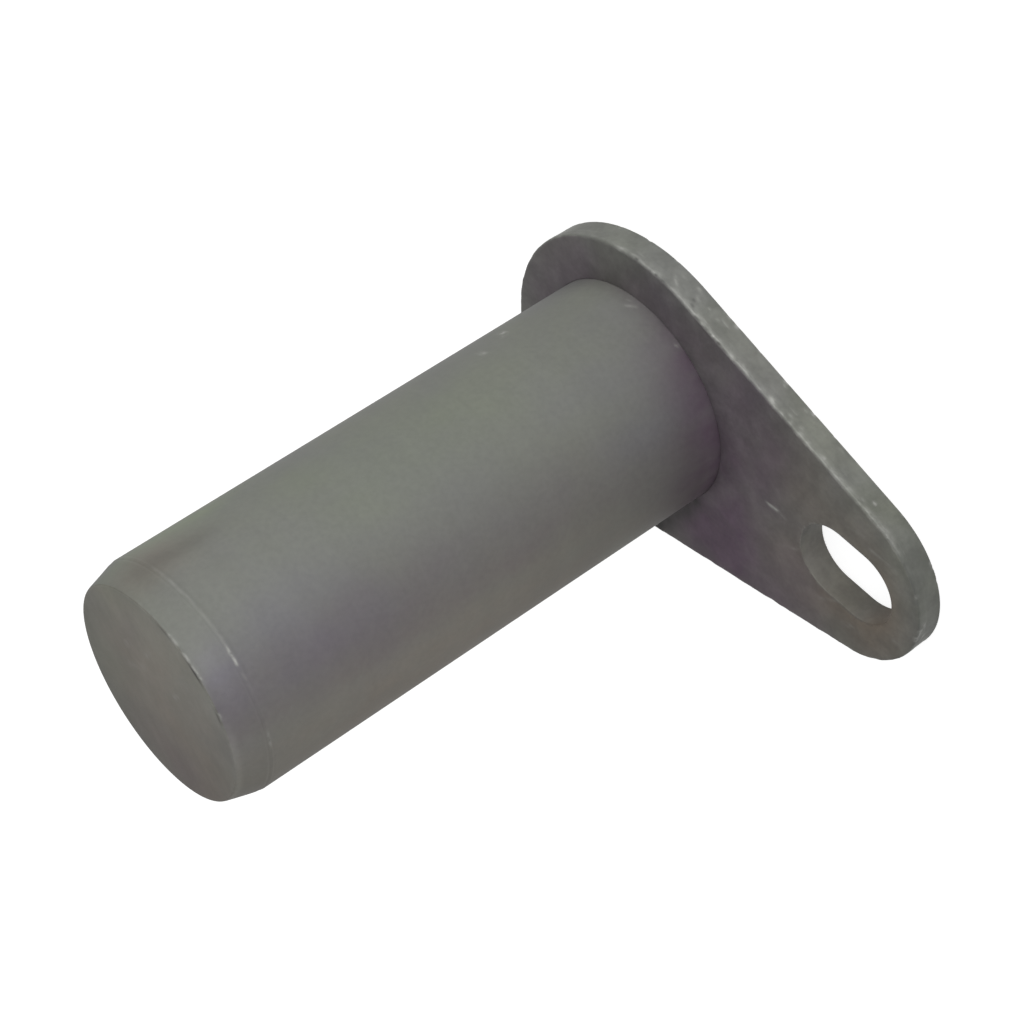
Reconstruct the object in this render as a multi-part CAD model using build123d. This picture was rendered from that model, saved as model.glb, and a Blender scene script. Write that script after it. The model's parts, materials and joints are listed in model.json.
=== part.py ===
"""Center pivot pin: a turned steel bar with a retaining flag welded to one end.

The bar's free end has a long conical lead-in, so that it finds its bushes.
The other end is turned slightly under size, passes through the flag and is
welded to it from outside, in a bevelled groove that lies within the flag's
thickness. The flag's tongue has a slot for the bolt that keeps the pin from
turning and from sliding out.

Frame, in millimetres: +Z runs along the pin's axis to its free end, z = 0 is
the flag's outer face, on which the pin stands, and the tongue points to -Y.
"""

import os

from build123d import *

# Shank: the working diameter, beyond the flag
shank_radius = 25.0
shank_length = 118.5  # from the flag's seat to the free end
lead_length = 6.5  # conical lead-in at the free end, along the axis
lead_depth = 1.9  # how much the lead-in takes off the radius
lead_blend = 3.0  # radius where the shank turns into the lead-in
end_edge = 0.4  # round on the rim of the free end

# Welded end of the bar, which passes through the flag
welded_end_relief = 0.3  # how much it is turned under the shank's radius
welded_end_edge = 0.15  # bevel on its outer rim

# Flag: a blanked plate, round about the pin, with a rounded tongue
flag_thickness = 6.0
flag_radius = 35.0
flag_offset = 0.5  # the round end's centre stands this far towards the tongue
tongue_reach = 59.0  # from the pin's axis to the centre of the tongue's end
tongue_radius = 20.0
seat_edge = 0.6  # roll-over that blanking leaves round the seat side
outer_edge = 0.25  # round on the outer face's edge
bore_edge = 0.3  # bevel round the bore on the seat side

# Slot for the retaining bolt, along the tongue
slot_offset = 1.0  # its centre stands this far past the centre of the tongue's end
slot_width = 17.5
slot_length = 24.0
slot_edge = 0.4  # round on the slot's rims

# Weld round the bar's end, in a 45 degree groove on the flag's outer side
groove_depth = 3.5
weld_recess = 0.35  # the weld's toes, inside the flag's outer face
weld_crown = 0.2  # how far the weld's face bulges past its toes

# Sizes that follow from those
seat_z = flag_thickness
free_end_z = seat_z + shank_length
lead_start_z = free_end_z - lead_length
free_end_radius = shank_radius - lead_depth
welded_end_radius = shank_radius - welded_end_relief
bore_radius = shank_radius  # the bar's relief leaves the gap in the bore
slot_reach = tongue_reach + slot_offset
groove_radius = bore_radius + groove_depth


def corner(profile, x, y):
    """The vertex of a flat profile that lies nearest to a point."""
    return profile.vertices().sort_by_distance((x, y, 0))[0]


def make_shank():
    """The bar, turned about Z in one piece: welded end, shank and lead-in."""
    outline = Polyline(
        (0, 0),
        (welded_end_radius - welded_end_edge, 0),
        (welded_end_radius, welded_end_edge),
        (welded_end_radius, seat_z),
        (shank_radius, seat_z),
        (shank_radius, lead_start_z),
        (free_end_radius, free_end_z),
        (0, free_end_z),
        close=True,
    )
    profile = make_face(outline)
    profile = fillet(corner(profile, shank_radius, lead_start_z), lead_blend)
    profile = fillet(corner(profile, free_end_radius, free_end_z), end_edge)
    return revolve(Plane.XZ * profile, Axis.Z)


def make_flag():
    """The flag: two round ends joined by tangent flanks, slotted and bored."""
    round_end = Pos(0, -flag_offset) * Edge.make_circle(flag_radius)
    tongue_end = Pos(0, -tongue_reach) * Edge.make_circle(tongue_radius)
    slot = Pos(0, -slot_reach) * SlotOverall(slot_length, slot_width, rotation=90)
    flag = extrude(make_hull([round_end, tongue_end]) - slot, flag_thickness)
    flag = fillet(rims(flag, seat_z), slot_edge)
    flag = fillet(rims(flag, 0), slot_edge)
    flag = fillet(outer_edges(flag, seat_z), seat_edge)
    flag = fillet(outer_edges(flag, 0), outer_edge)
    return flag - make_bore_cutter()


def flat_face(plate, z):
    """The plate's large flat face at a height."""
    return plate.faces().filter_by(Axis.Z).sort_by(lambda face: abs(face.center().Z - z))[0]


def outer_edges(plate, z):
    """The edges round the outside of the plate's face at a height."""
    return flat_face(plate, z).outer_wire().edges()


def rims(plate, z):
    """The edges round the openings in the plate's face at a height."""
    return ShapeList(edge for wire in flat_face(plate, z).inner_wires() for edge in wire.edges())


def make_bore_cutter():
    """What the bore takes out, with its bevel and the weld's groove."""
    outline = Polyline(
        (0, 0),
        (groove_radius, 0),
        (bore_radius, groove_depth),
        (bore_radius, seat_z - bore_edge),
        (bore_radius + bore_edge, seat_z),
        (0, seat_z),
        close=True,
    )
    return revolve(Plane.XZ * make_face(outline), Axis.Z)


def make_weld():
    """The weld bead, a ring that fills the groove between flag and bar."""
    toe_in = (welded_end_radius, weld_recess)
    toe_out = (groove_radius - weld_recess, weld_recess)
    root = Polyline(toe_in, (welded_end_radius, groove_depth), (bore_radius, groove_depth), toe_out)
    crown = ((toe_in[0] + toe_out[0]) / 2, weld_recess - weld_crown)
    face = ThreePointArc(toe_out, crown, toe_in)
    return revolve(Plane.XZ * make_face(root + face), Axis.Z)


pieces = {
    "shank": make_shank(),
    "flag_plate": make_flag(),
    "weld_bead": make_weld(),
}

os.makedirs("parts", exist_ok=True)
for name, solid in pieces.items():
    export_step(solid, f"parts/{name}.step")
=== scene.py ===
"""The center pivot pin's looks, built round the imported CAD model.

The three CAD solids are replaced by finer meshes of the same size that carry
what use and making left on the steel: a blanked flag with a rolled-over,
nicked rim, a turned bar with a machined lead-in, and a rippled weld bead.
Shapes are worked out in millimetres and handed to Blender in metres.
"""

import json
import math

import bmesh
import bpy
import numpy as np
from mathutils import Matrix, Vector, noise
from mathutils.geometry import delaunay_2d_cdt


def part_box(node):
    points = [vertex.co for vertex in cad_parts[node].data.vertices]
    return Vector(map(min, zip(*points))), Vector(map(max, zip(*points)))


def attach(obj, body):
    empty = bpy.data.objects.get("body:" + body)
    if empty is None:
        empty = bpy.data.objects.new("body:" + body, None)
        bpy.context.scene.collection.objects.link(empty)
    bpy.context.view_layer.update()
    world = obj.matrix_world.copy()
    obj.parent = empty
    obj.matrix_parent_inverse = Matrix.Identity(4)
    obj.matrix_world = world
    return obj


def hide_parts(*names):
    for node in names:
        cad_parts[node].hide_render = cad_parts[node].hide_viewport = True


MM = 0.001
MERGE_DISTANCE = 1e-4  # mm between points that count as one

# names of the numbers, 0 to 1 at each vertex, that the materials read
WEAR_AND_GLINT = "wear"  # bare metal, and on the bar some painted glints and a painted highlight
SHADE_AND_DARKENING = "grime"  # painted shade, and darker places
FRESH_AND_LIGHT = "fresh"  # paler, freshly cut or handled metal, and some painted light
MOSS = "moss"  # and stains of four colours, the plum one also painted shade
EARTH = "earth"
PLUM_AND_SHADE = "plum"
INDIGO = "indigo"

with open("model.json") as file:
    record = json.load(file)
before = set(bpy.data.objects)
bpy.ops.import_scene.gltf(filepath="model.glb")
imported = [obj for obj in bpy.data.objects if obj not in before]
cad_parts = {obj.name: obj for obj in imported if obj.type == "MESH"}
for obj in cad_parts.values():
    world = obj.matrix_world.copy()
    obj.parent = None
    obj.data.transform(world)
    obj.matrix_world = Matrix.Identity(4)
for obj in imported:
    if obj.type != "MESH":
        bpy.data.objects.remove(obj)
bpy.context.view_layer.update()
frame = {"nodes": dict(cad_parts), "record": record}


def box_mm(node):
    """A CAD node's lowest and highest corners in millimetres."""
    low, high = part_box(node)
    return low / MM, high / MM


# ------ sizes, mm
_, shank_high = box_mm("shank")
flag_low, flag_high = box_mm("flag_plate")
weld_low, weld_high = box_mm("weld_bead")

shank_radius = shank_high.x
end_z = shank_high.z
seat_z = flag_high.z

lead_length = 6.5  # of the cone at the free end
lead_depth = 1.9  # how much the cone takes off the radius
lead_z = end_z - lead_length
lead_angle = math.atan2(lead_depth, lead_length)
end_radius = shank_radius - lead_depth
end_round = 0.4  # on the free end's rim
end_round_in = 0.86 * end_round  # how far in from the rim its centre lies
relief_radius = shank_radius - 0.3  # the bar inside the flag
relief_end_z = 5.2
welded_end_round = 0.15  # on the welded end's rim

flag_radius = flag_high.x
flag_centre_y = flag_high.y - flag_radius
tongue_radius = 20.0
tongue_centre_y = flag_low.y + tongue_radius
seat_roll = 0.6  # roll-over of the flag's seat-side rim
outer_roll = 0.25  # and of its outer rim

(bolt_slot,) = [mount for mount in frame["record"]["mounts"] if mount["name"] == "bolt_slot"]
slot_y = bolt_slot["pos_m"][1] / MM
slot_radius = bolt_slot["dims"]["hole_r_mm"]
slot_half_run = bolt_slot["dims"]["slot_length_mm"] / 2 - slot_radius
slot_roll = 0.2  # roll-over of the slot's rims

groove_depth = 3.5  # of the weld's groove, cut at 45 degrees
groove_radius = shank_radius + groove_depth


# ------ mesh helpers
def add_object(name, data):
    """A new object in the scene."""
    made = bpy.data.objects.new(name, data)
    bpy.context.scene.collection.objects.link(made)
    return made


class Shell:
    """Collects rings of points and the faces between them."""

    def __init__(self):
        self.points = []
        self.faces = []

    def ring(self, points):
        """Adds a closed ring of points and returns their indices."""
        start = len(self.points)
        self.points.extend(tuple(point) for point in points)
        return list(range(start, len(self.points)))

    def band(self, rings):
        """Joins each ring to the next with quads."""
        for lower, upper in zip(rings, rings[1:]):
            count = len(lower)
            for i in range(count):
                j = (i + 1) % count
                self.faces.append((lower[i], lower[j], upper[j], upper[i]))

    def cap(self, ring, point):
        """Closes a ring with a fan round one point."""
        (tip,) = self.ring([point])
        for here, ahead in zip(ring, ring[1:] + ring[:1]):
            self.faces.append((here, ahead, tip))

    def build(self, name):
        """The mesh object, with its points merged and its normals outward."""
        mesh = bpy.data.meshes.new(name)
        mesh.from_pydata(self.points, [], self.faces)
        work = bmesh.new()
        work.from_mesh(mesh)
        bmesh.ops.remove_doubles(work, verts=work.verts, dist=MERGE_DISTANCE)
        bmesh.ops.recalc_face_normals(work, faces=work.faces)
        work.to_mesh(mesh)
        work.free()
        mesh.shade_smooth()
        return add_object(name, mesh)


def vertices(mesh, what="co"):
    """The mesh's vertices as an array: their places, or their "normal" directions."""
    values = np.empty(len(mesh.vertices) * 3, np.float32)
    mesh.vertices.foreach_get(what, values)
    return values.reshape(-1, 3).astype(float)


def set_coordinates(mesh, points):
    """Moves the mesh's vertices."""
    mesh.vertices.foreach_set("co", points.astype(np.float32).ravel())
    mesh.update()


def store(mesh, name, values):
    """Stores one number a vertex for the materials."""
    attribute = mesh.attributes.new(name, "FLOAT", "POINT")
    attribute.data.foreach_set("value", np.clip(values, 0, 1).astype(np.float32))


SEED_STEP = (17.3, 5.1, 9.7)  # how far apart two seeds lie in the noise


def field(points, size, seed):
    """Smooth noise from -1 to 1 with features of a size in mm, one value a point."""
    shift = Vector([seed * step for step in SEED_STEP])
    return np.array([noise.noise(Vector(p) / size + shift) for p in points])


def bell(offset, reach):
    """1 where the offset is 0, falling smoothly to nearly 0 at twice the reach."""
    return np.exp(-((offset / reach) ** 2))


def ramp(low, high, value):
    """0 below low, 1 above high, smooth between."""
    share = np.clip((value - low) / (high - low), 0, 1)
    return share * share * (3 - 2 * share)


class Mark:
    """A dent, nick or scrape: a soft-edged stroke on the surface."""

    def __init__(self, at, along, length, width, depth, shine):
        self.at = np.array(at, float)
        self.along = np.array(along, float) / np.linalg.norm(along)
        self.length = length
        self.width = width
        self.depth = depth
        self.shine = shine

    def share(self, points):
        """How strongly each point is touched, 0 to 1."""
        offset = points - self.at
        run = offset @ self.along
        side = np.linalg.norm(offset - run[:, None] * self.along, axis=1)
        return np.exp(-((2 * run / self.length) ** 4) - (2 * side / self.width) ** 2)


def press(points, outward, marks):
    """Sinks the marks into the surface and returns their bare-metal values."""
    shine = np.zeros(len(points))
    for mark in marks:
        share = mark.share(points)
        points -= outward * (mark.depth * share)[:, None]
        shine = np.maximum(shine, mark.shine * share)
    return shine


def stain(places, patches, seed):
    """How strongly soft-edged patches colour each place, 0 to 1.

    A place is two numbers; a patch is the two of its middle, its reach in each, and
    a strength.
    """
    flat = np.column_stack([places, np.zeros(len(places))])
    uneven = 0.3 * field(flat, 9.0, seed) + 0.12 * field(flat, 2.6, seed + 1)
    strength = np.zeros(len(places))
    for first, second, reach_1, reach_2, most in patches:
        offset = (places - (first, second)) / (reach_1, reach_2)
        share = most * np.exp(-((offset**2).sum(axis=1)))
        strength = 1 - (1 - strength) * (1 - share)
    return np.clip(strength * (1 + uneven), 0, 1)


def arc(centre, radius, start, end, steps):
    """Points on an arc in the profile plane, angles in degrees."""
    angles = np.radians(np.linspace(start, end, steps))
    return [(centre[0] + radius * math.cos(a), centre[1] + radius * math.sin(a)) for a in angles]


def runs(*stations):
    """Numbers from run to run: (value, count), and then the next value."""
    values = []
    for (start, count), (end, _) in zip(stations, stations[1:]):
        values.extend(np.linspace(start, end, count, endpoint=False))
    values.append(stations[-1][0])
    return values


def circle_ring(radius, z, count):
    """A ring of points about the pin's axis."""
    angles = np.arange(count) * 2 * math.pi / count
    return np.stack([radius * np.cos(angles), radius * np.sin(angles), np.full(count, z)], 1)


# ------ the shank
SHANK_SEGMENTS = 360


def shank_profile():
    """Radius and height from the welded end's centre to the free end's centre."""
    points = [(r, 0.0) for r in (6.0, 12.0, 18.0, 22.0, 24.0)]
    corner = (relief_radius - welded_end_round, welded_end_round)
    points += arc(corner, welded_end_round, -90, 0, 3)
    points += [(relief_radius, z) for z in (1.5, 3.0, 4.5, relief_end_z)]
    points += [(shank_radius, relief_end_z + 0.2), (shank_radius, seat_z - 0.1)]
    body = runs((seat_z + 0.1, 30), (14.0, 90), (lead_z - 6, 20), (lead_z - 1.3, 1))
    points += [(shank_radius, z) for z in body]
    points += lead_profile()
    round_radius = end_radius - end_round_in
    centre = (round_radius, end_z - end_round)
    points += arc(centre, end_round, math.degrees(lead_angle), 90, 8)
    face = runs((round_radius - 0.25, 6), (round_radius - 2.0, 16), (1.0, 1))
    points += [(r, end_z) for r in face]
    return points


LEAD_BLEND = 0.28  # how softly the bar goes over into the cone, mm
RIDGE_HEIGHT = 0.05  # of the ridge that the tool left where the lead-in starts
RIDGE_BACK = 0.38  # how far before the lead-in's start the ridge lies
CUT_DEPTH = 0.045  # of the fine groove beyond that start
CUT_AHEAD = 0.25


def lead_profile():
    """The lead-in's start, a small ridge and groove, and its cone."""
    slope = math.tan(lead_angle)
    points = []
    for z in runs((lead_z - 1.1, 16), (lead_z + 1.1, 12), (end_z - 0.6, 1)):
        run = z - lead_z
        radius = shank_radius - max(run, 0) * slope
        blend = LEAD_BLEND * bell(run, 0.55) * slope
        ridge = RIDGE_HEIGHT * bell(run + RIDGE_BACK, 0.22)
        groove = CUT_DEPTH * bell(run - CUT_AHEAD, 0.25)
        points.append((radius - blend + ridge - groove, z))
    return points


# scuffs on the side: degrees, height, direction, length, width, depth, shine
SIDE_SCUFFS = (
    (3.5, 8.2, (0.2, 1.2, 0.8), 2.6, 0.9, 0.05, 0.55),
    (7, 7.4, (0, 1, 0.3), 1.4, 0.6, 0.04, 0.2),
    (-24, 6.6, (0, 0, 1), 1.2, 0.8, 0.04, 0.7),
    (36, 29.5, (-0.5, 0.8, -0.3), 3.6, 0.9, 0.02, 0.9),
    (30, 37, (-0.4, 0.8, 0.2), 2.6, 0.8, 0.02, 0.6),
    (86, 21, (-0.9, 0.1, 0.4), 3.4, 0.8, 0.02, 0.6),
    (118, 78, (-0.5, -0.3, 0.8), 4.4, 0.7, 0.02, 0.5),
    (124, 80.5, (-0.5, -0.3, 0.8), 2.6, 0.6, 0.02, 0.4),
    (152, 44, (-0.3, -0.8, 0.2), 3, 0.8, 0.02, 0.6),
    (-136, 58, (0.6, -0.6, 0.5), 3.2, 0.7, 0.02, 0.5),
)
# nicks by the lead-in's start: degrees, distance before it, length, width, depth, shine; the one at
# -34 degrees is a painted glint
LEAD_NICKS = (
    (-34, 0.3, 4.2, 0.6, 0.04, 1),
    (-75, 0.4, 4, 0.6, 0.02, 0.4),
    (-12, 0.3, 6, 0.5, 0.01, 0.15),
    (8, 0.3, 5, 0.5, 0.01, 0.18),
    (130, 0.3, 5, 0.6, 0.03, 0.6),
    (175, 0.3, 3.6, 0.6, 0.03, 0.5),
)
# nicks on the free end's rim: degrees, length, depth; the long one at -28 degrees is a painted glint
RIM_NICKS = ((-28, 8, 0.05), (-54, 1.8, 0.12), (-14, 3, 0.04))
RIM_INSET = 0.15  # how far in from the rim's corner they lie
# scratches on the free end: x, y, length
END_STROKES = (
    (3.6, 5.1, 5.5), (6.4, 9, 4), (5.3, -5.6, 3.5), (1, 7.5, 3), (9.5, 2.5, 3),
)
STROKE_RUN = (0.75, -0.66, 0)


def on_shank(degrees, z, radius=shank_radius):
    """A point on the shank's surface."""
    a = math.radians(degrees)
    return (radius * math.cos(a), radius * math.sin(a), z)


def round_shank(degrees):
    """The direction round the shank at an angle."""
    a = math.radians(degrees)
    return (-math.sin(a), math.cos(a), 0)


def shank_marks():
    """Scuffs on the side, nicks on the rims and scratches on the free end."""
    marks = []
    for degrees, z, along, *stroke in SIDE_SCUFFS:
        marks.append(Mark(on_shank(degrees, z), along, *stroke))
    # bare metal in these nicks, at -34 degrees a painted glint
    for degrees, back, *stroke in LEAD_NICKS:
        marks.append(Mark(on_shank(degrees, lead_z - back), round_shank(degrees), *stroke))
    # bare metal in these nicks, at -28 degrees a painted glint
    for degrees, length, depth in RIM_NICKS:
        at = on_shank(degrees, end_z - RIM_INSET, end_radius - RIM_INSET)
        marks.append(Mark(at, round_shank(degrees), length, width=0.8, depth=depth, shine=1.0))
    for x, y, length in END_STROKES:
        at = (x, y, end_z)
        marks.append(Mark(at, STROKE_RUN, length, width=1.1, depth=0.02, shine=0.3))
    return marks


ROOT_SHADE = 0.3  # painted shade in the corner by the flag
ROOT_REACH = 0.9  # how far it reaches out of the corner, mm
RIDGE_SHADE = 0.12  # painted shade beside the lead-in's ridge, on its lit side
RIDGE_WEAR = 0.08  # bare metal on the ridge all round
RIDGE_HIGHLIGHT = 0.16  # and a painted highlight on its lit side
RIM_WEAR = 0.2  # bare metal on the free end's rim
LOW_RIM_WEAR = 0.15  # and on that rim's low side
LOW_RIM_PALE = 0.4  # paler metal next to it
END_MOTTLE = 0.13  # clouds and fine lines on the free end
END_LINES = 0.1
LINES_TURN = 40  # degrees
LINES_STRETCH = 4

# stains on the bar: degrees round it and height in mm, the reach in each, strength
SIDE_MOSS = (
    (6, 56, 24, 22, 0.45), (18, 80, 16, 16, 0.4), (-8, 78, 12, 14, 0.3), (44, 106, 12, 16, 1.0),
    (104, 36, 20, 26, 0.5), (-150, 34, 15, 24, 0.4),
)
SIDE_EARTH = ((-100, 78, 36, 58, 1.0), (26, 117, 14, 9, 0.7), (134, 62, 24, 40, 0.7))
# the plum stains are heat tint by the weld and also painted shade, darkening the corner at the root
# and the bar's low side
SIDE_PLUM_AND_SHADE = (
    (-84, 5, 46, 13, 0.9), (-40, 5, 26, 8, 0.6), (0, 5, 40, 3, 0.3), (-52, 104, 17, 40, 0.35),
    (-66, 60, 8, 40, 0.15), (-50, 40, 15, 16, 0.14), (-50, 121, 14, 4, 0.12),
    (100, 4, 36, 7, 0.7), (-146, 5, 16, 8, 0.5), (112, 112, 20, 14, 0.2),
)
SIDE_INDIGO = (
    (-40, 121, 18, 5, 0.45), (-30, 107, 22, 12, 0.4), (-52, 98, 10, 20, 0.2),
    (-50, 22, 12, 10, 0.3), (104, 92, 22, 22, 0.5), (-152, 96, 14, 24, 0.4),
)
# stains on its free end: x and y in mm, the reach in each, strength
END_MOSS = ((18, 14, 6, 6, 0.7), (-6, 14, 9, 5, 0.3))
END_EARTH = ((-14, -10, 16, 18, 1.0), (4, 2, 24, 24, 0.8))
END_PLUM = ((-17, -6, 9, 12, 0.2), (12, 8, 6, 3, 0.1))
# paler places on the side and on the free end; the one at -34 degrees by the rim is a painted
# highlight, and the one low by the root lightens the painted shade there
SIDE_PALE = (
    (-34, 122, 12, 3, 0.25), (-75, 121, 30, 4, 0.17), (44, 108, 9, 14, 0.2),
    (-84, 92, 17, 42, 0.26), (22, 8.5, 34, 6, 0.36), (-88, 7, 36, 4, 0.5),
    (124, 26, 20, 18, 0.3), (146, 96, 14, 20, 0.2),
)
END_PALE = (
    (12, 0, 28, 30, 0.55), (19, -4, 10, 18, 0.6), (15, 15, 5, 5, 0.2), (12, -17, 4, 3, 0.4),
    (6, 5, 6, 3, 0.2),
)
# darker places on the side, and painted shade inside the free end's rim, there by degrees and radius
# in mm
SIDE_DARKENING = ((24, 115, 8, 4, 0.22), (22, 108, 6, 5, 0.18), (22, 120, 10, 3, 0.14))
RIM_SHADE = ((-8, 22.7, 6, 0.3, 0.5), (-32, 22.7, 7, 0.35, 0.75), (-55, 22.6, 4, 0.4, 0.6))


def drawn(points, seed):
    """Noise drawn out in one direction across the free end, like fine lines."""
    turned = points @ np.array(Matrix.Rotation(math.radians(LINES_TURN), 3, "Z"))
    return field(turned * (1 / LINES_STRETCH, 1, 1), 1.6, seed)


def root_shade(points):
    """How much painted shade the corner between bar and flag gets, most on the tongue's side."""
    degrees = np.degrees(np.arctan2(points[:, 1], points[:, 0]))
    low_side = ramp(25, -40, degrees) * ramp(-178, -150, degrees)
    return ROOT_SHADE * (0.25 + 0.75 * low_side) * (1 + 0.7 * field(points, 2.5, seed=38))


def make_shank():
    """The turned bar."""
    shell = Shell()
    rings = [shell.ring(circle_ring(r, z, SHANK_SEGMENTS)) for r, z in shank_profile()]
    shell.band(rings)
    shell.cap(rings[0], (0, 0, 0))
    shell.cap(rings[-1], (0, 0, end_z))
    piece = shell.build("pin_shank")
    dress_shank(piece.data)
    return piece


def dress_shank(mesh):
    """Gives the bar its uneven lead-in, its marks, bare metal, painted glints and highlights, painted
    shade and darker places, and stains.
    """
    points = vertices(mesh)
    outward = vertices(mesh, "normal")
    angle = np.arctan2(points[:, 1], points[:, 0])
    degrees = np.degrees(angle)
    radius = np.hypot(points[:, 0], points[:, 1])
    height = points[:, 2]  # a view, so it follows the points as they move

    wander = 0.16 * np.sin(angle + 0.6) + 0.07 * np.sin(3 * angle) + 0.04 * np.sin(7 * angle + 1)
    points[:, 2] += wander * bell(height - lead_z, 1.6) * (radius > end_radius)
    worn_and_glinting = press(points, outward, shank_marks())
    set_coordinates(mesh, points * MM)

    patchy = 0.55 + 0.45 * np.sin(2.1 * angle + 0.4) * np.sin(5.3 * angle + 1.7)
    lit = ramp(-55, -30, degrees) * ramp(70, 45, degrees)
    low_side = ramp(-50, -70, degrees) * (angle > -2.6)
    from_lead = height - lead_z - wander
    from_rim = np.hypot(height - end_z + 0.2, radius - end_radius + 0.2)
    outer = radius > 20
    on_side = radius > shank_radius - 0.5

    crest = bell(from_lead + RIDGE_BACK, 0.3) * on_side
    # bare metal on the ridge, with a painted highlight added on its lit side
    worn_and_glinting = np.maximum(worn_and_glinting, crest * patchy * (RIDGE_WEAR + RIDGE_HIGHLIGHT * lit))
    rim = RIM_WEAR * bell(from_rim, 0.35) * patchy * (1 - low_side)
    rim += LOW_RIM_WEAR * bell(from_rim, 0.5) * low_side
    store(mesh, WEAR_AND_GLINT, np.maximum(worn_and_glinting, rim))

    round_bar = np.column_stack([degrees, height])
    round_end = np.column_stack([degrees, radius])
    # painted shade in the corner by the flag
    by_root = root_shade(points) * np.exp(-np.maximum(height - seat_z, 0) / ROOT_REACH) * outer
    # a painted shade line beside the ridge, on its lit side
    above_lead = RIDGE_SHADE * bell(from_lead + 1.0, 0.4) * lit * patchy
    # painted shade just inside the free end's rim
    inside_rim = stain(round_end, RIM_SHADE, seed=42) * (height > end_z - 0.2)
    # darker places on the side
    side_darkening = stain(round_bar, SIDE_DARKENING, seed=39)
    store(mesh, SHADE_AND_DARKENING, by_root + above_lead + side_darkening + inside_rim)

    end_pale = stain(points[:, :2], END_PALE, seed=27)
    end_pale += END_MOTTLE * field(points, 4.0, seed=28) + END_LINES * drawn(points, seed=29)
    side_pale = stain(round_bar, SIDE_PALE, seed=30)
    side_pale += LOW_RIM_PALE * low_side * bell(from_rim - 0.5, 0.8) * outer
    on_end = (outward[:, 2] > 0.9) & (radius < end_radius)
    store(mesh, FRESH_AND_LIGHT, np.where(on_end, end_pale, side_pale))
    stain_shank(mesh, points, round_bar)


def stain_shank(mesh, points, round_bar):
    """Colours the bar's side by angle and height, and its free end by place."""
    from_axis = np.hypot(points[:, 0], points[:, 1])
    on_end = (points[:, 2] > end_z - 0.2) & (from_axis < end_radius)
    for name, seed, sides, ends in (
        (MOSS, 21, SIDE_MOSS, END_MOSS),
        (EARTH, 23, SIDE_EARTH, END_EARTH),
        (PLUM_AND_SHADE, 25, SIDE_PLUM_AND_SHADE, END_PLUM),
        (INDIGO, 26, SIDE_INDIGO, ()),
    ):
        side = stain(round_bar, sides, seed)
        end = stain(points[:, :2], ends, seed)
        store(mesh, name, np.where(on_end, end, side))


# ------ the flag
OUTLINE_SPACING = 0.32  # between the outline's points, mm


class Outline:
    """A closed line whose points each lie at a radius and an angle from a centre.

    The centres are on the Y axis. The same point on a line that lies further
    out is found by adding to its radius.
    """

    def __init__(self, centres, radii, angles):
        self.centres = np.column_stack([np.zeros(len(centres)), centres])
        self.radii = radii
        self.outward = np.column_stack([np.cos(angles), np.sin(angles)])

    def offset(self, distance, z):
        """The line's points, moved out by a distance (in if negative), at a height."""
        flat = self.centres + self.outward * (self.radii + distance)[:, None]
        return np.column_stack([flat, np.full(len(flat), z)])


def two_ends(top, top_radius, bottom, bottom_radius):
    """The outline round two circles on the Y axis: an arc and a tangent, twice."""
    right = -math.asin((top_radius - bottom_radius) / (top - bottom))
    left = math.pi - right
    legs = (
        ((top, top_radius, right), (top, top_radius, left)),
        ((top, top_radius, left), (bottom, bottom_radius, left)),
        ((bottom, bottom_radius, left), (bottom, bottom_radius, 2 * math.pi + right)),
        ((bottom, bottom_radius, right), (top, top_radius, right)),
    )
    rows = []
    for start, end in np.array(legs):
        length = abs(end[0] - start[0]) + start[1] * abs(end[2] - start[2])
        steps = round(length / OUTLINE_SPACING)
        rows.extend(start + (end - start) * (np.arange(steps) / steps)[:, None])
    return Outline(*np.transpose(rows))


def depth_inside(x, y):
    """How far a point lies inside the flag's outline."""
    reach = flag_centre_y - tongue_centre_y
    slope = (flag_radius - tongue_radius) / reach
    rise = math.sqrt(1 - slope * slope)
    across, down = abs(x), flag_centre_y - y
    along = -slope * across + rise * down
    if along < 0:
        return flag_radius - math.hypot(across, down)
    if along > rise * reach:
        return tongue_radius - math.hypot(across, down - reach)
    return flag_radius - (rise * across + slope * down)


def beyond_slot(x, y):
    """How far a point lies outside the slot."""
    return math.hypot(x, max(abs(y - slot_y) - slot_half_run, 0)) - slot_radius


FACE_MARGIN = 3.0  # the flat faces start this far in from the outline
SLOT_MARGIN = 1.6  # and this far out from the slot
BORE_MARGIN = 1.2  # and from the bore or the weld's groove
BORE_GAP = 0.02  # between the bar and the flag's face
BORE_GAP_Z = (5.0, 4.6)  # heights between which the gap closes
SEAT_SPACING = 1.5  # between the points on the inner face
OUTER_SPACING = 2.5  # and on the outer one
ROW_STEP = 0.866  # of rows in a grid of even-sided triangles
MARK_STEP = 0.25  # between the points that are added round a stroke


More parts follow.
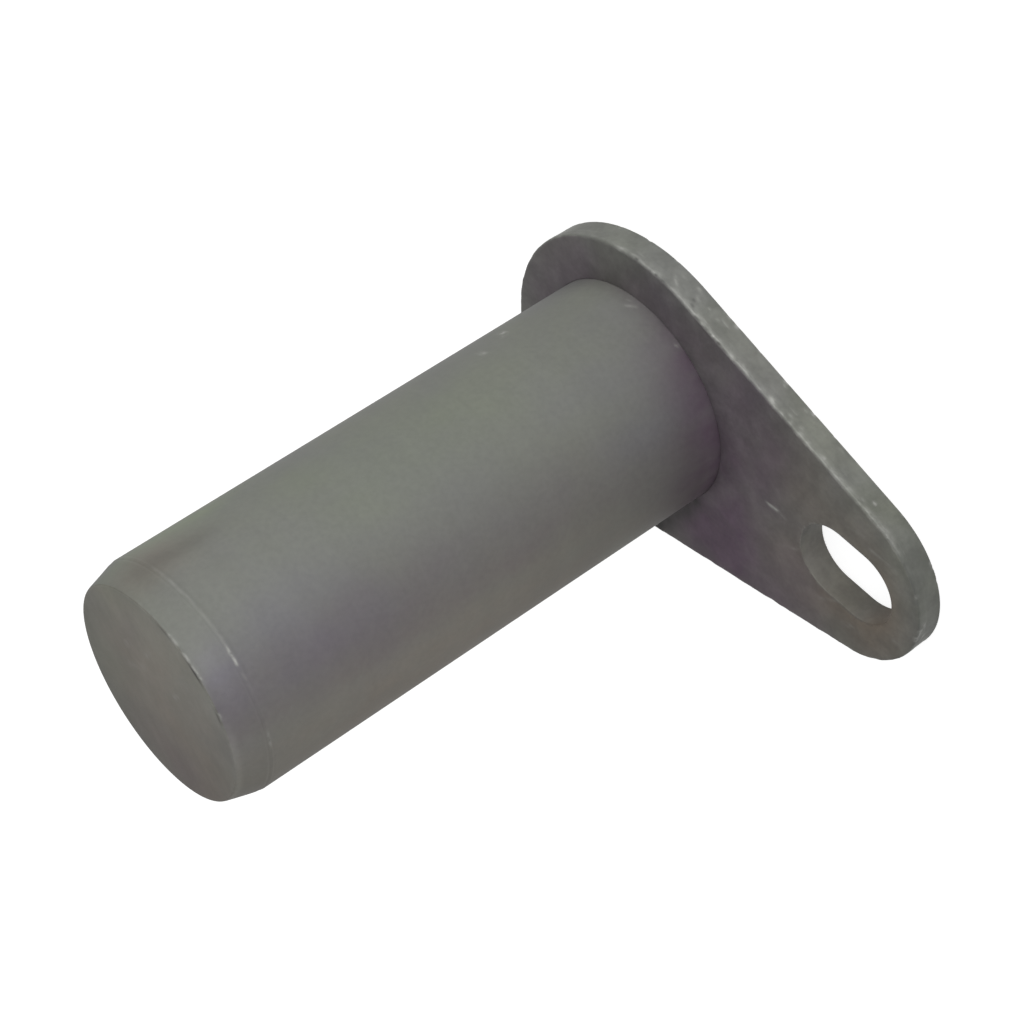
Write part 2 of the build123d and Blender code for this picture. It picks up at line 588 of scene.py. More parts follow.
def face_fill(shell, rings, bore_edge, z, spacing, marks):
    """Fills a flat face between its outer ring, the slot's and the bore's."""
    flat = [Vector(shell.points[i][:2]) for ring in rings for i in ring]
    edges, start = [], 0
    for ring in rings:
        count = len(ring)
        edges += [(start + i, start + (i + 1) % count) for i in range(count)]
        start += count

    def clear(x, y, gap):
        return (
            depth_inside(x, y) > FACE_MARGIN + gap
            and beyond_slot(x, y) > SLOT_MARGIN + gap
            and math.hypot(x, y) > bore_edge + gap
        )

    rows = np.arange(flag_low.y, flag_high.y, spacing * ROW_STEP)
    for row, y in enumerate(rows):
        for x in np.arange(flag_low.x, flag_high.x, spacing) + (row % 2) * spacing / 2:
            if clear(x, y, spacing * 0.5):
                flat.append(Vector((x, y)))
    for mark in marks:
        side = np.array([-mark.along[1], mark.along[0]])
        for run in np.arange(-mark.length * 0.8, mark.length * 0.8, MARK_STEP):
            for step in np.arange(-mark.width * 1.4, mark.width * 1.4, MARK_STEP):
                x, y = mark.at[:2] + mark.along[:2] * run + side * step
                if clear(x, y, 0.2):
                    flat.append(Vector((x, y)))
    points, _, faces, _, _, _ = delaunay_2d_cdt(flat, edges, [], 0, 1e-5)
    index = shell.ring([(p.x, p.y, z) for p in points])
    for face in faces:
        centre = sum((points[i] for i in face), Vector((0, 0))) / len(face)
        if clear(centre.x, centre.y, 1e-3):
            shell.faces.append(tuple(index[i] for i in face))


STROKE_DEPTH = 0.015
# strokes on the flag's inner face: (x, y) in mm, direction, length, width, shine
FACE_STROKES = (
    ((1.2, -39.9), (0.1, -1), 3.4, 0.9, 0.9),
    ((1.1, -42.4), (-0.1, -1), 3, 0.8, 0.25),
    ((12, -69.4), (-0.3, -1), 4, 1.4, 0.25),
    ((-5.5, -46), (0.55, -0.83), 5, 0.7, 0.25),
    ((-10.5, -57.5), (0.6, -0.8), 6, 0.8, 0.22),
    ((-13, -63), (0.5, -0.86), 4, 1, 0.25),
    ((13.2, -60), (0.2, -1), 5, 0.9, 0.2),
    ((12, -66), (0.1, -1), 6, 0.9, 0.22),
    ((-6, -75), (0.4, -0.9), 3, 1.2, 0.2),
    ((17, 27), (0.9, 0.4), 1.6, 1, 0.35),
    ((9.5, 29), (-0.5, 0.8), 3, 0.9, 0.18),
)
# nicks and burrs scattered round the flag: how many, the heights they lie at,
# and the ranges of their length, width, depth and shine
SCATTERED = (
    (46, None, (0.5, 2.2), (0.5, 0.9), (-0.06, 0.16), (0.3, 1)),
    (26, (0.1, 0.5), (0.4, 1.6), (0.5, 0.9), (0.02, 0.14), (0.3, 1)),
    (34, (0.8, 5), (0.5, 2.6), (0.3, 0.8), (-0.02, 0.05), (0.1, 0.7)),
)
SCATTER_SEED = 11


def face_marks():
    """Strokes on the flag's inner face."""
    marks = []
    for at, along, length, width, shine in FACE_STROKES:
        marks.append(Mark((*at, seat_z), (*along, 0), length, width, STROKE_DEPTH, shine))
    return marks


def rim_marks(outline):
    """Nicks and burrs along the seat's rim, the outer rim and the edge between them."""
    chance = np.random.default_rng(SCATTER_SEED)
    marks = []
    line = outline.offset(0, 0)[:, :2]
    count = len(line)
    for number, heights, *ranges in SCATTERED:
        for _ in range(number):
            index = chance.integers(count)
            z = chance.uniform(*heights) if heights else seat_z - 0.15
            length, width, depth, shine = [chance.uniform(*limits) for limits in ranges]
            ahead = line[(index + 3) % count] - line[(index - 3) % count]
            marks.append(Mark((*line[index], z), (*ahead, 0), length, width, depth, shine))
    return marks


# marks that stand out on the edge: place in mm, direction, length, width, depth, shine
EDGE_MARKS = (
    ((20.3, 28, 0.4), (0.8, -0.6, 0), 2, 0.8, 0.04, 1),
    ((31.2, -19.2, 0.3), (0.25, -1, 0.1), 2.2, 0.9, 0.05, 0.9),
    ((27.5, -33, 0.3), (0.25, -1, 0), 1.6, 0.8, 0.05, 0.8),
    ((25.5, -40.8, 0.3), (0.25, -1, 0), 1.4, 0.8, 0.05, 0.7),
    ((33.6, -10.5, 2.8), (0.2, -1, 0.3), 1.8, 0.8, 0.05, 0.5),
    ((34.6, -5, 3.6), (1.8, -8.8, 4.8), 9.5, 0.7, 0.03, 0.6),
    ((34.2, -8.2, 3.9), (0.2, -1, 0.6), 1.6, 0.7, 0.08, 0),
    ((32.8, -13.6, 5.6), (0.25, -1, 0), 2, 1, 0.06, 0),
    ((27.3, -34.5, 5.2), (0.25, -1, -0.1), 3, 1.2, 0.05, 1),
    ((19.4, -65, 5.4), (-0.3, -1, 0), 7, 1.6, 0.04, 0.8),
    ((0.4, -78.9, 5.2), (1, 0, 0), 2.2, 1.2, -0.02, 1),
    ((2, -78.8, 4.5), (1, 0.1, 0), 1.8, 1, -0.02, 0.9),
    ((-1.4, -78.9, 5.7), (1, -0.1, 0), 1.6, 1, -0.02, 0.9),
)

FLANK_RUN = (0.25, -1, 0)  # along the flag's flank on the +X side
SPOT_WIDTH = 0.7  # of the bright spots and dark pits by that flank
SPOT_DEPTH = 0.03
PIT_DEPTH = 0.10
# bright spots: x, y, z, length, shine
EDGE_SPOTS = (
    (33.9, 8.2, 5.5, 1.6, 0.9), (34.3, -7.5, 5.3, 2.4, 1.0), (31.5, -18.2, 5.8, 1.2, 1.0),
    (34.6, -5.5, 1.7, 4.0, 0.3), (33.9, -9.3, 1.2, 1.8, 0.7), (32.1, -16.1, 2.5, 1.4, 0.35),
    (27.5, -33.5, 0.8, 1.2, 0.8), (26.1, -38.6, 4.4, 2.6, 0.6), (25.3, -41.8, 4.4, 1.1, 0.9),
    (25.9, -39.4, 1.0, 1.2, 0.6), (23.4, -48.7, 5.0, 1.0, 0.7), (23.2, -49.4, 1.0, 1.6, 0.4),
    (22.8, -50.9, 5.4, 1.2, 0.8), (21.5, -55.9, 5.5, 1.0, 0.8), (20.2, -60.8, 3.1, 1.0, 0.9),
)
# dark pits: x, y, z, length
EDGE_PITS = (
    (34.7, 3.8, 5.8, 0.9),
    (34.9, -1.8, 5.9, 0.9),
    (34.8, -3.7, 5.8, 1.2),
    (33.6, -10.3, 3.7, 0.9),
    (33.4, -11.0, 4.7, 1.0),
    (32.7, -13.7, 5.9, 1.8),
    (31.0, -20.0, 5.9, 1.6),
)


def edge_marks():
    """The marks that stand out on the edge, and the dark pits by themselves."""
    marks = [Mark(*mark) for mark in EDGE_MARKS]
    for *at, length, shine in EDGE_SPOTS:
        marks.append(Mark(at, FLANK_RUN, length, SPOT_WIDTH, SPOT_DEPTH, shine))
    pits = [Mark(at, FLANK_RUN, length, SPOT_WIDTH, PIT_DEPTH, 0.0) for *at, length in EDGE_PITS]
    return marks, pits


def rim_section():
    """The flag's edge from the inner face to the outer one: (outward, height)."""
    edge = [(-inset, seat_z) for inset in (FACE_MARGIN, 2.2, 1.7, 1.3, 1.0, 0.8)]
    edge += arc((-seat_roll, seat_z - seat_roll), seat_roll, 90, 0, 8)
    edge += [(0, z) for z in np.linspace(seat_z - seat_roll, outer_roll, 20)[1:-1]]
    edge += arc((-outer_roll, outer_roll), outer_roll, 0, -90, 5)
    edge += [(-inset, 0) for inset in (0.6, 1.2, 2.0, FACE_MARGIN)]
    return edge


def slot_section():
    """The slot's wall, in the same way."""
    wall = [(outset, seat_z) for outset in (SLOT_MARGIN, 1.0, 0.65)]
    wall += arc((slot_roll, seat_z - slot_roll), slot_roll, 90, 180, 7)
    wall += [(0, z) for z in np.linspace(seat_z - slot_roll, slot_roll, 14)[1:-1]]
    wall += arc((slot_roll, slot_roll), slot_roll, 180, 270, 7)
    wall += [(outset, 0) for outset in (0.65, 1.0, SLOT_MARGIN)]
    return wall


def bore_section(bore_edge, groove_edge):
    """The bore and the weld's groove: (radius, height)."""
    gap_start, gap_end = BORE_GAP_Z
    bore = [(bore_edge, seat_z), (shank_radius + 0.5, seat_z), (shank_radius + 0.14, seat_z)]
    bore += [(shank_radius + BORE_GAP, z) for z in (seat_z, gap_start)]
    bore += [(shank_radius, z) for z in (gap_end, groove_depth)]
    bore += [(groove_radius - 1.5, 1.5), (groove_radius, 0)]
    bore += [(groove_radius + 0.4, 0), (groove_edge, 0)]
    return bore


CHEW_DEPTH = 0.09  # mm of unevenness on the seat's rim
UNEVEN_DEPTH = 0.05  # on the edge
BREAK_DEPTH = 0.07  # on the edge's broken part
WAVE_HEIGHT = 0.03  # and on the inner face
ROUND_END_SHINE = 0.35  # how much of their bare metal the marks keep at the round end
RIM_SHINE = 0.08  # bare metal on the seat's rim, but for the flanks, which have much
SLOT_RIM_LOSS = 0.4  # how much less of it there is beside the slot
ROOT_SHARE = 0.5  # of the corner's painted shade that the flag shows
SLOT_SHADE = 0.22  # painted shade on the slot's wall and round the tongue's end, and darker pits
TIP_SHADE = 0.16
PIT_DARKENING = 0.35
CUT_FRESH = 0.17  # paler metal on the cut edge, and painted light on the slot wall's upper end, which faces away from the lamps
SLOT_END_LIGHT = 0.36
CUT_MOSS = 0.14  # green of the cut edge
EDGE_STAIN = 0.25  # how much of the stains the cut edge shows
WALL_STAIN = 0.4  # and the slot's wall, but for its end

# painted shadow of the bar along its foot, two faint darker places, and paler places on the flag's
# inner face: x and y in mm, the reach in each, strength
FLAG_SHADE_AND_DARKENING = (
    (-15.5, -20.4, 2.8, 1.8, 0.8), (-19.5, -18.4, 3.4, 2.0, 0.8),
    (-23.5, -16.2, 3.4, 2.2, 0.85), (-27.5, -14.0, 3.4, 2.4, 0.9),
    (-31.5, -11.8, 3.4, 2.4, 0.95), (-11, -66, 9, 9, 0.15), (-27, -27, 5, 8, 0.12),
)
FLAG_PALE = ((12, -28, 16, 8, 0.4), (22, -18, 9, 12, 0.3), (28, -2, 5, 14, 0.2), (14, -68, 6, 6, 0.17))
# stains on the flag; the plum ones are heat tint round the weld and also the bar's painted shadow on
# the tongue's side
FLAG_MOSS = ((40, -20, 7, 40, 0.3), (30, 22, 12, 14, 0.3), (16, -72, 9, 8, 0.4))
FLAG_EARTH = (
    (-5, -63, 12, 12, 1.0), (-12, -46, 12, 12, 0.45), (-3, -68, 9, 6, 0.9),
    (12, -46, 12, 10, 0.4), (10, -62, 10, 8, 0.4), (-30, 10, 20, 20, 0.5),
)
FLAG_PLUM_AND_SHADE = (
    (4, -26, 24, 10, 0.75), (-18, -30, 14, 12, 0.85), (-26, -24, 6, 8, 0.8),
    (-22, -46, 8, 14, 0.45), (26, -6, 9, 20, 0.5), (-10, -27, 9, 5, 0.6),
    (-10, -49, 10, 7, 0.35), (20, 20, 9, 9, 0.5), (8, 26, 14, 9, 0.5), (8, -36, 16, 6, 0.45),
    (16, -40, 13, 12, 0.2), (-26, -6, 8, 16, 0.6),
)


def make_flag():
    """The blanked plate."""
    shell = Shell()
    rim = two_ends(flag_centre_y, flag_radius, tongue_centre_y, tongue_radius)
    slot = two_ends(slot_y + slot_half_run, slot_radius, slot_y - slot_half_run, slot_radius)
    bore_edge = shank_radius + BORE_MARGIN
    groove_edge = groove_radius + BORE_MARGIN
    bore = bore_section(bore_edge, groove_edge)
    walls = [
        [shell.ring(rim.offset(distance, z)) for distance, z in rim_section()],
        [shell.ring(slot.offset(distance, z)) for distance, z in slot_section()],
        [shell.ring(circle_ring(radius, z, SHANK_SEGMENTS)) for radius, z in bore],
    ]
    for rings in walls:
        shell.band(rings)
    strokes = face_marks()
    face_fill(shell, [rings[0] for rings in walls], bore_edge, seat_z, SEAT_SPACING, strokes)
    face_fill(shell, [rings[-1] for rings in walls], groove_edge, 0.0, OUTER_SPACING, [])
    piece = shell.build("pin_flag")
    dress_flag(piece.data, rim_marks(rim) + strokes)
    return piece


def roughen_edge(points, outward, inside):
    """Makes the flag's edge uneven: chewed at the seat's rim, then smooth, then broken."""
    height = points[:, 2]  # a view, so it follows the points as they move
    on_edge = ramp(1.4, 0.0, inside)
    near_seat = ramp(2.6, 0.2, seat_z - height)
    uneven = field(points, 3.2, seed=3) * 0.6 + field(points, 0.9, seed=4) * 0.4
    rim = np.exp(-((inside / 0.7) ** 2) - ((seat_z - height) / 0.7) ** 2)
    chewed = rim * field(points, 1.7, seed=12)
    points -= outward * (CHEW_DEPTH * chewed)[:, None]
    points -= outward * (UNEVEN_DEPTH * uneven * on_edge * (0.4 + 0.6 * near_seat))[:, None]

    # The sheared edge is smooth down to this depth, and broken and a little smaller below it.
    smooth_depth = 2.1 + 0.5 * field(points * (1, 1, 0), 9.0, seed=5)
    broken = ramp(0.0, 0.5, seat_z - height - smooth_depth)
    broken = broken * ramp(0.02, 0.3, height) * (inside < 0.3)
    points -= outward * ((BREAK_DEPTH + 0.03 * uneven) * broken)[:, None]


def dress_flag(mesh, marks):
    """Gives the flag its uneven edge, wavy faces, marks, bare metal, painted shade and light, and
    stains.
    """
    points = vertices(mesh)
    outward = vertices(mesh, "normal")
    inside = np.array([depth_inside(x, y) for x, y, _ in points])
    roughen_edge(points, outward, inside)

    around_slot = np.array([beyond_slot(x, y) for x, y, _ in points])
    around_bar = np.hypot(points[:, 0], points[:, 1]) - shank_radius
    clear = ramp(FACE_MARGIN + 0.1, 9.0, inside)
    clear = clear * ramp(SLOT_MARGIN + 0.1, 7.0, around_slot)
    clear = clear * ramp(BORE_MARGIN + 0.4, 6.0, around_bar)
    waves = WAVE_HEIGHT * field(points, 16.0, seed=6) * clear
    points[:, 2] += waves * (outward[:, 2] > 0.9)

    edge, pits = edge_marks()
    pitted = np.max([pit.share(points) for pit in pits], axis=0)
    worn_and_glinting = press(points, outward, marks + edge + pits)
    worn_and_glinting = flag_wear(points, inside, worn_and_glinting) * (1 - pitted)

    points[:, :2] = np.clip(points[:, :2], flag_low[:2], flag_high[:2])
    points[:, 2] = np.clip(points[:, 2], 0, None)
    set_coordinates(mesh, points * MM)
    store(mesh, WEAR_AND_GLINT, worn_and_glinting)
    stain_flag(mesh, points, outward, (inside, around_slot, around_bar), pitted)


def flag_wear(points, inside, worn_and_glinting):
    """The marks' bare metal, less at the round end, and that of the seat's rim."""
    y = points[:, 1]
    worn_and_glinting = worn_and_glinting * (ROUND_END_SHINE + (1 - ROUND_END_SHINE) * ramp(12, -4, y))
    ragged = 0.5 + 0.5 * field(points, 8.0, seed=8) + 0.6 * field(points, 1.6, seed=10)
    corner = bell(seat_z - points[:, 2] - 0.5, 0.65) * (inside < 0.6)
    on_flank = ramp(-72, -67, y) * ramp(24, -2, y)
    to_slot = ramp(-38, -56, y)
    shine = RIM_SHINE + (1 - RIM_SHINE) * on_flank * (1 - SLOT_RIM_LOSS * to_slot)
    return np.maximum(worn_and_glinting, corner * np.clip(ragged, 0, 1) * shine)


def stain_flag(mesh, points, outward, distances, pitted):
    """Sets the flag's painted shade and darker places, its freshly cut faces, the painted light on the
    slot's wall, and its stains.
    """
    inside, around_slot, around_bar = distances
    flat = points[:, :2]
    y = points[:, 1]
    on_seat = outward[:, 2] > 0.9
    on_wall = around_slot < slot_roll
    on_cut = (inside < 0.5) * ramp(0.9, 0.5, np.abs(outward[:, 2]))

    by_bar = np.exp(-np.abs(around_bar) / ROOT_REACH) * (points[:, 2] > seat_z - 1.0)
    # painted shade in the corner by the bar
    grime = ROOT_SHARE * root_shade(points) * by_bar
    # painted shadow of the bar along its foot, and two faint darker places
    grime = np.maximum(grime, stain(flat, FLAG_SHADE_AND_DARKENING, seed=37) * on_seat)
    # painted shade on the slot's wall and the edge towards the tongue's end; the pits are darkened too
    to_tip = ramp(-56, -68, y)
    grime = grime + to_tip * (SLOT_SHADE * on_wall + TIP_SHADE * ramp(0.4, 0.0, inside))
    store(mesh, SHADE_AND_DARKENING, grime + PIT_DARKENING * pitted)

    middle = ramp(-60, -44, y) * ramp(12, -4, y)
    # painted light on the slot wall's upper end, which faces away from the lamps
    slot_end = on_wall * ramp(-60, -52, y)
    pale = stain(flat, FLAG_PALE, seed=41) * on_seat
    store(mesh, FRESH_AND_LIGHT, CUT_FRESH * on_cut * middle + SLOT_END_LIGHT * slot_end + pale)

    wall_stain = WALL_STAIN + (1 - WALL_STAIN) * ramp(-64, -71, y)
    taken = np.where(inside < 0.3, EDGE_STAIN, np.where(on_wall, wall_stain, 1.0))
    store(mesh, MOSS, taken * stain(flat, FLAG_MOSS, seed=31) + CUT_MOSS * on_cut)
    store(mesh, EARTH, taken * stain(flat, FLAG_EARTH, seed=33))
    store(mesh, PLUM_AND_SHADE, taken * stain(flat, FLAG_PLUM_AND_SHADE, seed=35))


# ------ the weld
WELD_SEGMENTS = 720
WELD_RIPPLES = 96
RIPPLE_HEIGHT = 0.06
RIPPLE_LAG = 2.4  # how far they bow along the bead at its middle, in radians
TOE_Z = 0.35  # how deep in the groove the bead's two edges lie, mm
CROWN_SHARE = 0.7  # how much of that depth the bead's crown makes up


def make_weld():
    """The bead in the flag's groove, with the ripples of its run."""
    shell = Shell()
    inner, outer = relief_radius, weld_high.x
    crown = CROWN_SHARE * (TOE_Z - weld_low.z)
    rings = []
    angles = np.arange(WELD_SEGMENTS) * 2 * math.pi / WELD_SEGMENTS
    for share in np.linspace(0, 1, 19):
        radius = inner + (outer - inner) * share
        bow = 4 * share * (1 - share)
        phase = WELD_RIPPLES * angles + RIPPLE_LAG * bow
        ripple = RIPPLE_HEIGHT * np.sin(phase) * min(1, 3 * bow)
        z = TOE_Z - crown * bow + ripple
        rings.append(np.column_stack([radius * np.cos(angles), radius * np.sin(angles), z]))
    back = [(shank_radius, groove_depth), (relief_radius, groove_depth)]
    rings += [circle_ring(r, z, WELD_SEGMENTS) for r, z in back]
    rings = [shell.ring(ring) for ring in rings]
    shell.band(rings + [rings[0]])
    piece = shell.build("pin_weld")
    mesh = piece.data
    points = vertices(mesh)
    points[:, 2] += 0.03 * field(points, 1.4, seed=9) * (points[:, 2] < 1)
    points[:, 2] = np.clip(points[:, 2], 0.02, None)
    set_coordinates(mesh, points * MM)
    store(mesh, WEAR_AND_GLINT, 0.5 * ramp(0.25, 0.1, points[:, 2]))
    store(mesh, SHADE_AND_DARKENING, 0.6 * ramp(0.25, 0.4, points[:, 2]))
    return piece


# ------ materials
class Paint:
    """A node material that is put together step by step."""

    def __init__(self, name):
        self.material = bpy.data.materials.new(name)
        self.material.use_nodes = True
        self.nodes = self.material.node_tree.nodes
        self.links = self.material.node_tree.links
        self.shader = self.nodes["Principled BSDF"]
        self.place = self.nodes.new("ShaderNodeTexCoord").outputs["Object"]

    def feed(self, socket, value):
        """Links an output to an input, or sets the input's own value."""
        if isinstance(value, bpy.types.NodeSocket):
            self.links.new(value, socket)
        else:
            socket.default_value = value

    def stretched(self, scale, turn=(0, 0, 0)):
        """The object's coordinates, turned and scaled."""
        node = self.nodes.new("ShaderNodeMapping")
        self.links.new(self.place, node.inputs["Vector"])
        node.inputs["Rotation"].default_value = turn
        node.inputs["Scale"].default_value = scale
        return node.outputs["Vector"]

    def noise(self, scale, detail=3.0, vector=None, distortion=0.0):
        """Noise from about 0 to 1, scale in features a metre."""
        node = self.nodes.new("ShaderNodeTexNoise")
        self.links.new(vector or self.place, node.inputs["Vector"])
        for name, number in (("Scale", scale), ("Detail", detail), ("Distortion", distortion)):
            node.inputs[name].default_value = number
        return node.outputs["Fac"]

    def math(self, operation, first, second=0.0, clamp=False):
        """One arithmetic step."""
        node = self.nodes.new("ShaderNodeMath")
        node.operation = operation
        node.use_clamp = clamp
        self.feed(node.inputs[0], first)
        self.feed(node.inputs[1], second)
        return node.outputs[0]

    def remap(self, value, low, high, to_low=0.0, to_high=1.0):
        """Takes low..high to to_low..to_high, clamped."""
        node = self.nodes.new("ShaderNodeMapRange")
        for socket, number in zip(node.inputs[1:5], (low, high, to_low, to_high)):
            socket.default_value = number
        self.links.new(value, node.inputs["Value"])
        return node.outputs["Result"]

    def mix(self, share, first, second, blend="MIX"):
        """A colour between two."""
        node = self.nodes.new("ShaderNodeMix")
        node.data_type = "RGBA"
        node.blend_type = blend
        self.feed(node.inputs["Factor"], share)
        self.feed(node.inputs["A"], first)
        self.feed(node.inputs["B"], second)
        return node.outputs["Result"]

    def scaled(self, colour, share):
        """A colour times a number."""
        return self.mix(1.0, colour, share, "MULTIPLY")

    def value(self, name):
        """A number stored on the mesh, 0 where the mesh has none of that name."""
        node = self.nodes.new("ShaderNodeAttribute")
        node.attribute_name = name
        return node.outputs["Fac"]

    def bump(self, height, distance, strength, below=None):
        """Bump from a height, distance in mm, on top of another bump if there is one."""
        node = self.nodes.new("ShaderNodeBump")
        node.inputs["Strength"].default_value = strength
        node.inputs["Distance"].default_value = distance * MM
        self.links.new(height, node.inputs["Height"])
        if below is not None:
            self.links.new(below, node.inputs["Normal"])
        return node.outputs["Normal"]


# the steel's two tones, the stains' colours (the purple one also painted shade), the weld's tone,
# painted shade and other darkening, and bare metal with painted glints
OLIVE = (0.151, 0.157, 0.136, 1)
SLATE = (0.150, 0.152, 0.146, 1)
GREEN = (0.151, 0.168, 0.128, 1)
BROWN = (0.163, 0.149, 0.129, 1)
OCHRE = (0.171, 0.143, 0.113, 1)
PURPLE_AND_SHADE = (0.108, 0.074, 0.104, 1)
BLUE = (0.146, 0.140, 0.168, 1)
SMOKE = (0.118, 0.106, 0.112, 1)
DARK_AND_SHADE_TONE = (0.030, 0.028, 0.027, 1)
BARE_AND_GLINT = (0.33, 0.33, 0.31, 1)
FRESH_TONE = 1.6  # how much paler a freshly cut face is
METALLIC = 0.3  # low, because the finish covers the metal
SPECULAR = 0.45
EDGE_TINT = (0.3, 0.3, 0.3, 1)  # keeps glancing views from turning white
WORN_GLOSS = 0.12  # how much less rough bare metal is


def stained(paint, colour, earth):
    """A finish's colour with its stains; earth is the colour of the brown ones."""
    broken = paint.remap(paint.noise(260, 3.0), 0.3, 0.7, 0.93, 1.07)
    for name, tone in ((MOSS, GREEN), (EARTH, earth), (PLUM_AND_SHADE, PURPLE_AND_SHADE), (INDIGO, BLUE)):
        share = paint.math("MULTIPLY", paint.value(name), broken, clamp=True)
        colour = paint.mix(share, colour, tone)
    return colour


def finish_steel(paint, colour, roughness, normal):
    """Adds paler freshly cut metal and painted light, bare metal and painted glints, painted shade and
    darker places, and sets the shader.
    """
    grain = paint.noise(1.0, 3.0, paint.stretched((1100, 420, 1100)))
    broken = paint.remap(grain, 0.35, 0.65, 0.1, 1.15)
    shown = paint.math("MULTIPLY", paint.value(WEAR_AND_GLINT), broken, clamp=True)
    colour = paint.scaled(colour, paint.remap(paint.value(FRESH_AND_LIGHT), 0.0, 1.0, 1.0, FRESH_TONE))
    # bare metal with its painted glints, then painted shade and darker places
    colour = paint.mix(shown, colour, BARE_AND_GLINT)
    colour = paint.mix(paint.value(SHADE_AND_DARKENING), colour, DARK_AND_SHADE_TONE)
    gloss = paint.math("MULTIPLY", shown, WORN_GLOSS)
    rough = paint.math("SUBTRACT", roughness, gloss, clamp=True)
    shader = paint.shader
    shader.inputs["Metallic"].default_value = METALLIC
    shader.inputs["Specular IOR Level"].default_value = SPECULAR
    shader.inputs["Specular Tint"].default_value = EDGE_TINT
    paint.links.new(colour, shader.inputs["Base Color"])
    paint.links.new(rough, shader.inputs["Roughness"])
    paint.links.new(normal, shader.inputs["Normal"])
    return paint.material


def shank_material():
    """Turned steel with a dark finish."""
    paint = Paint("shank_steel")
    clouds = paint.noise(38, 3.0, distortion=0.4)
    specks = paint.noise(900, 4.0)
    lines = paint.noise(1.0, 2.0, paint.stretched((25, 25, 2600)))
    bands = paint.noise(1.0, 3.0, paint.stretched((12, 12, 260)))
    colour = paint.mix(paint.remap(clouds, 0.35, 0.65), OLIVE, SLATE)
    colour = stained(paint, colour, BROWN)
    colour = paint.scaled(colour, paint.remap(specks, 0.3, 0.7, 0.95, 1.05))
    colour = paint.scaled(colour, paint.remap(bands, 0.3, 0.7, 1.01, 1.05))
    roughness = paint.remap(clouds, 0.3, 0.7, 0.58, 0.66)
    roughness = paint.math("ADD", roughness, paint.remap(specks, 0.3, 0.7, -0.02, 0.02))
    normal = paint.bump(lines, 0.004, 0.6)
    normal = paint.bump(specks, 0.010, 0.7, normal)
    return finish_steel(paint, colour, roughness, normal)


def flag_material():
    """Rolled plate with a dark finish, brushed and handled."""
    paint = Paint("flag_steel")
    clouds = paint.noise(45, 4.0, distortion=0.8)
    smudges = paint.noise(190, 5.0, distortion=0.3)
    specks = paint.noise(1000, 4.0)
    streaks = paint.noise(1.0, 3.0, paint.stretched((900, 60, 900), (0, 0, math.radians(-38))))
    colour = paint.mix(paint.remap(clouds, 0.35, 0.65), OLIVE, SLATE)
    colour = stained(paint, colour, OCHRE)
    colour = paint.scaled(colour, paint.remap(specks, 0.3, 0.7, 0.94, 1.06))
    colour = paint.scaled(colour, paint.remap(streaks, 0.3, 0.7, 0.97, 1.03))
    colour = paint.scaled(colour, paint.remap(smudges, 0.4, 0.66, 0.9, 1.12))
    roughness = paint.remap(clouds, 0.3, 0.7, 0.46, 0.56)
    roughness = paint.math("ADD", roughness, paint.remap(streaks, 0.3, 0.7, -0.03, 0.03))
    normal = paint.bump(streaks, 0.006, 0.6)
    normal = paint.bump(specks, 0.012, 0.7, normal)
    return finish_steel(paint, colour, roughness, normal)


def weld_material():
    """Weld metal, darker and bluer, with a skin of scale."""
    paint = Paint("weld_metal")
    clouds = paint.noise(160, 4.0)
    specks = paint.noise(2200, 3.0)
    colour = paint.mix(paint.remap(clouds, 0.35, 0.65), SMOKE, SLATE)
    colour = paint.scaled(colour, paint.remap(specks, 0.3, 0.7, 0.85, 1.1))
    roughness = paint.remap(clouds, 0.3, 0.7, 0.38, 0.6)
    normal = paint.bump(specks, 0.02, 0.8)
    return finish_steel(paint, colour, roughness, normal)


# ------ stage and light
def seen_share(nodes, links):
    """1 for rays that show the backdrop as it is: camera, mirror and glass."""
    path = nodes.new("ShaderNodeLightPath")
    share = path.outputs["Is Camera Ray"]
    for name in ("Is Glossy Ray", "Is Transmission Ray"):
        either = nodes.new("ShaderNodeMath")
        either.operation = "MAXIMUM"
        links.new(share, either.inputs[0])
        links.new(path.outputs[name], either.inputs[1])
        share = either.outputs[0]
    return share


FLOOR_HALF = 6.0  # half the floor's side, in metres
PAPER_TONE = 0.9
FLOOR_GLOW = 0.8  # plain white in what the camera and mirrors see of the floor
FLOOR_SHADE = 0.5  # and how much of the lit paper, with its shadow, is added


def make_floor():
    """A pale floor that reads as white and keeps a soft shadow."""
    half = FLOOR_HALF
    mesh = bpy.data.meshes.new("floor")
    corners = [(-half, -half, 0), (half, -half, 0), (half, half, 0), (-half, half, 0)]
    mesh.from_pydata(corners, [], [(0, 1, 2, 3)])
    floor = add_object("floor", mesh)
    material = bpy.data.materials.new("floor_paper")
    material.use_nodes = True
    nodes, links = material.node_tree.nodes, material.node_tree.links
    nodes.clear()
    seen = seen_share(nodes, links)
    tone = nodes.new("ShaderNodeMapRange")
    tone.inputs["To Min"].default_value = PAPER_TONE
    tone.inputs["To Max"].default_value = PAPER_TONE * FLOOR_SHADE
    glow = nodes.new("ShaderNodeMapRange")
    glow.inputs["To Max"].default_value = FLOOR_GLOW
    paper = nodes.new("ShaderNodeBsdfDiffuse")
    white = nodes.new("ShaderNodeEmission")
    both = nodes.new("ShaderNodeAddShader")
    output = nodes.new("ShaderNodeOutputMaterial")
    links.new(seen, tone.inputs["Value"])
    links.new(seen, glow.inputs["Value"])
    links.new(tone.outputs["Result"], paper.inputs["Color"])
    links.new(glow.outputs["Result"], white.inputs["Strength"])
    links.new(paper.outputs[0], both.inputs[0])
    links.new(white.outputs[0], both.inputs[1])
    links.new(both.outputs[0], output.inputs["Surface"])
    mesh.materials.append(material)


WORLD_LEVEL = 0.5


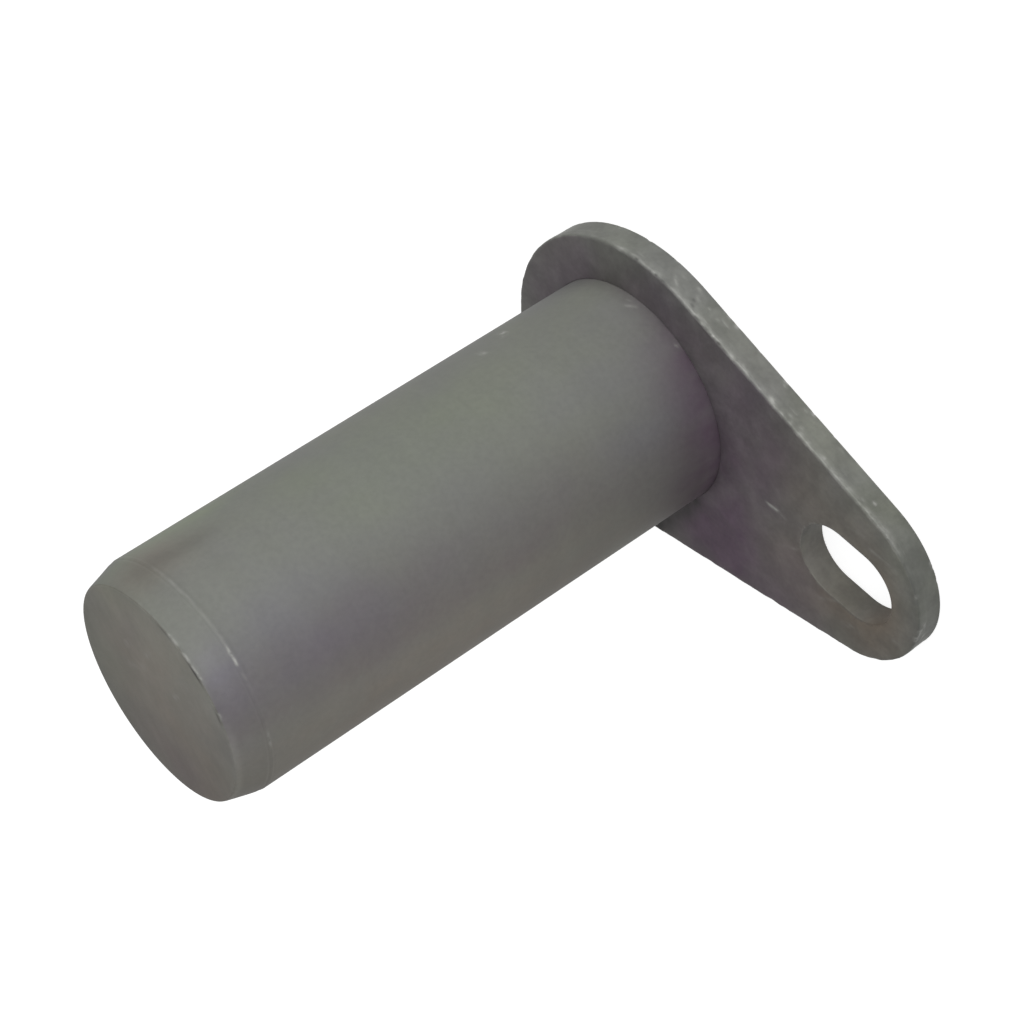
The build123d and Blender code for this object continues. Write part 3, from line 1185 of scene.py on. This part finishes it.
def make_world():
    """A plain pale room with the same soft light from all round."""
    world = bpy.data.worlds.new("studio")
    world.use_nodes = True
    background = world.node_tree.nodes["Background"]
    background.inputs["Color"].default_value = (1, 1, 1, 1)
    background.inputs["Strength"].default_value = WORLD_LEVEL
    bpy.context.scene.world = world


def towards(azimuth, elevation):
    """The direction to a stand, azimuth 0 on the -Y side and 90 on the +X side."""
    a, e = math.radians(azimuth), math.radians(elevation)
    return Vector((math.sin(a) * math.cos(e), -math.cos(a) * math.cos(e), math.sin(e)))


AIM = Vector((-0.0011, -0.0077, 0.0451))  # the point that the camera and the lamps face
LAMP_DISTANCE = 0.8
LAMP_SIDE = 0.5
LAMPS = (
    # name, azimuth, elevation, power
    ("front", 62, 6, 1.8),
    ("middle", 90, 6, 2.8),
    ("flank", 130, 8, 1.3),
    ("back", 235, 8, 0.4),
    ("top", 0, 89, 0.8),
)


def make_lamp(name, azimuth, elevation, power):
    """A square soft box that faces the object."""
    data = bpy.data.lights.new(name, "AREA")
    data.shape = "SQUARE"
    data.size = LAMP_SIDE
    data.energy = power
    lamp = add_object(name, data)
    away = towards(azimuth, elevation)
    lamp.location = AIM + away * LAMP_DISTANCE
    lamp.rotation_euler = away.to_track_quat("Z", "Y").to_euler()


CAMERA_AZIMUTH = 60.10
CAMERA_ELEVATION = 26.49
CAMERA_ROLL = 122.95  # turn of the picture's upright towards the camera's right
CAMERA_DISTANCE = 0.5662  # in metres
CAMERA_LENS = 102.71  # in mm, like the sensor's width
CAMERA_SENSOR = 36.0


def make_camera():
    """The camera, rolled so that the pin lies across the picture."""
    data = bpy.data.cameras.new("camera")
    data.sensor_width = CAMERA_SENSOR
    data.lens = CAMERA_LENS
    data.clip_start = 0.01
    camera = add_object("camera", data)
    away = towards(CAMERA_AZIMUTH, CAMERA_ELEVATION)
    level = away.to_track_quat("Z", "Y").to_matrix()
    rolled = level @ Matrix.Rotation(math.radians(-CAMERA_ROLL), 3, "Z")
    camera.matrix_world = Matrix.Translation(AIM + away * CAMERA_DISTANCE) @ rolled.to_4x4()
    bpy.context.scene.camera = camera


# ------ assembly
def place(piece, node, material):
    """Puts a piece in its CAD node's stead."""
    piece.data.materials.append(material)
    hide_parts(node)
    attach(piece, "root")
    hidden = frame["nodes"][node]
    hidden.data.materials.clear()
    hidden.data.materials.append(material)


place(make_shank(), "shank", shank_material())
place(make_flag(), "flag_plate", flag_material())
place(make_weld(), "weld_bead", weld_material())
make_floor()
make_world()
for lamp in LAMPS:
    make_lamp(*lamp)
make_camera()
bpy.context.scene.view_settings.view_transform = "Standard"
